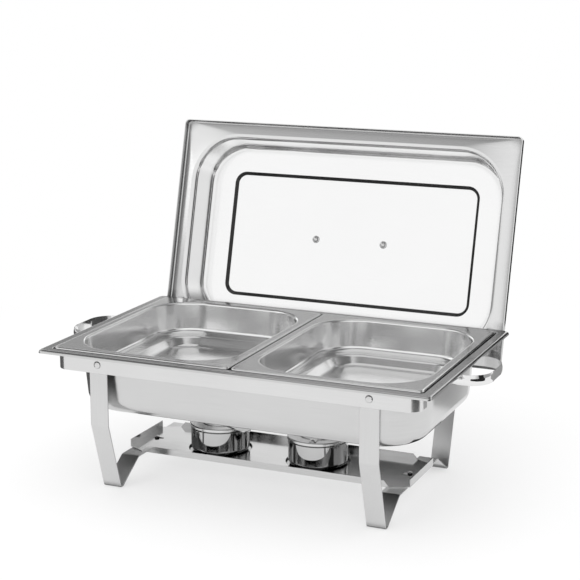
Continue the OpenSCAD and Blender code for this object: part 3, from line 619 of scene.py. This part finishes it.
# The room darkens upwards and to both sides; the limits are sines of the angles up and to the side.
band_top, ceiling_from, ceiling_light = 0.45, 0.78, 0.14
flank_from, flank_to, flank_light = 0.55, 0.9, 0.4
paper_light = 1.15
world = bpy.data.worlds.new("white_studio")
scene.world = world
world.use_nodes = True
tree = world.node_tree
tree.nodes.clear()
ray = add(tree, "LightPath")
place = add(tree, "TexCoord")
height = add(tree, "SeparateXYZ", inputs={0: (place, "Generated")})
room = add(tree, "MapRange", {"interpolation_type": "SMOOTHSTEP"}, {
    "Value": (height, "Z"), "From Min": band_top, "From Max": ceiling_from,
    "To Min": 1.0, "To Max": ceiling_light})
aside = add(tree, "Math", {"operation": "ABSOLUTE"}, {0: (height, "X")})
flank = add(tree, "MapRange", {"interpolation_type": "SMOOTHSTEP"}, {
    "Value": (aside, 0), "From Min": flank_from, "From Max": flank_to,
    "To Min": 1.0, "To Max": flank_light})
room = add(tree, "Math", {"operation": "MULTIPLY"}, {0: (room, 0), 1: (flank, 0)})
room = add(tree, "Math", {"operation": "MAXIMUM"}, {0: (room, 0), 1: (ray, "Is Camera Ray")})
level = add(tree, "Mix", {"data_type": "FLOAT"}, {
    0: (ray, "Is Diffuse Ray"), 2: (room, 0), 3: paper_light})
sky = add(tree, "Background", inputs={"Color": (1, 1, 1, 1), "Strength": (level, 0)})
add(tree, "OutputWorld", inputs={"Surface": (sky, 0)})


def board(name, centre, right, up, material):
    """A flat board: centre plus and minus half its width and half its height."""
    centre, right, up = (np.asarray(v, float) for v in (centre, right, up))
    corners = [centre - right - up, centre + right - up, centre + right + up, centre - right + up]
    mesh = bpy.data.meshes.new(name)
    mesh.from_pydata([tuple(c) for c in corners], [], [(0, 1, 2, 3)])
    mesh.materials.append(material)
    made = bpy.data.objects.new(name, mesh)
    scene.collection.objects.link(made)
    return made


# Matt paper that takes a soft shadow near the dish and goes over to pure white further away.
shadow_near, white_from, near_glow = 0.35, 1.1, 0.6
paper = bpy.data.materials.new("white_paper_floor")
paper.use_nodes = True
tree = paper.node_tree
tree.nodes.clear()
place = add(tree, "TexCoord")
away = add(tree, "VectorMath", {"operation": "LENGTH"}, {0: (place, "Object")})
far = add(tree, "MapRange", inputs={
    "Value": (away, "Value"), "From Min": shadow_near, "From Max": white_from, "To Min": near_glow})
matt = add(tree, "BsdfDiffuse", inputs={"Color": linear("#f4f4f4")})
glow = add(tree, "Emission", inputs={"Color": (1, 1, 1, 1), "Strength": 1.0})
blend = add(tree, "MixShader", inputs={0: (far, 0), 1: (matt, 0), 2: (glow, 0)})
add(tree, "OutputMaterial", inputs={"Surface": (blend, 0)})
board("floor", (0, 0, -0.5 * mm), (12, 0, 0), (0, 12, 0), paper)

# Matt cards, seen only as dark lines in the polished steel.
for name, colour, centre, right, up in (
        ("black_card_right", "#101010", (2.2, -0.75, 0.7), (0.1, 0.45, 0), (0, 0, 0.6)),
        ("grey_card_back_right", "#9a9a9a", (0.56, 0.28, 0.1), (0.24, 0, 0), (0, 0, 0.1)),
        ("black_card_back", "#101010", (-0.05, 0.6, 0.2), (0.2, 0, 0), (0, 0, 0.12)),
        ("grey_card_back_left", "#8c8c8c", (-0.8, 0.6, 0.52), (0.3, 0, 0), (0, 0, 0.2)),
        ("black_card_back_right", "#101010", (0.55, 0.75, 0.28), (0.22, 0, 0), (0, 0, 0.24)),
        ("grey_card_low_left", "#606060", (-0.42, -0.02, 0.09), (0, 0.3, 0), (0, 0, 0.09)),
        ("black_card_left_foot", "#101010", (-0.195, -0.1, 0.1), (0.05, 0, 0), (0, 0.06, 0)),
        ("black_card_right_foot", "#101010", (0.195, -0.1, 0.1), (0.05, 0, 0), (0, 0.06, 0)),
        ("black_card_rail_bend", "#101010", (0.66, -0.42, 0.1), (0.14, 0.32, 0), (0, 0, 0.1))):
    card = bpy.data.materials.new(name + "_matt")
    card.use_nodes = True
    surface = card.node_tree.nodes["Principled BSDF"]
    surface.inputs["Base Color"].default_value = linear(colour)
    surface.inputs["Roughness"].default_value = 0.9
    hung = board(name, centre, right, up, card)
    hung.visible_camera = False
    hung.visible_shadow = False
    hung.visible_diffuse = False

for name, watts, size, at, aim in (
        ("overhead_softbox", 9, 2.3, (0, -0.38, 2.6), (0, 0, 0.2)),
        ("left_softbox", 4, 1.4, (-2.2, -1.0, 1.5), (0, 0, 0.2))):
    lamp = bpy.data.lights.new(name, "AREA")
    lamp.energy = watts
    lamp.size = size
    lamp_object = bpy.data.objects.new(name, lamp)
    scene.collection.objects.link(lamp_object)
    lamp_object.location = at
    back = np.asarray(at) - np.asarray(aim)
    lamp_object.rotation_euler = (math.acos(back[2] / np.linalg.norm(back)), 0,
                                  math.atan2(back[1], back[0]) + math.pi / 2)

# Camera
# A long lens, to the right and above the rim, placed by fitting the corners of the rim and the pans to the
# photograph, 580 by 580 pixels.
camera_place = (0.8416, rim_middle - 1.8948, 0.7484)
looking_down, turned_left = math.radians(12.993), math.radians(23.525)
camera = bpy.data.cameras.new("camera")
camera.sensor_width = 36
camera.lens = 95.97
camera.clip_end = 50
camera_object = bpy.data.objects.new("camera", camera)
scene.collection.objects.link(camera_object)
camera_object.location = camera_place
camera_object.rotation_euler = (math.pi / 2 - looking_down, 0, turned_left)
scene.camera = camera_object
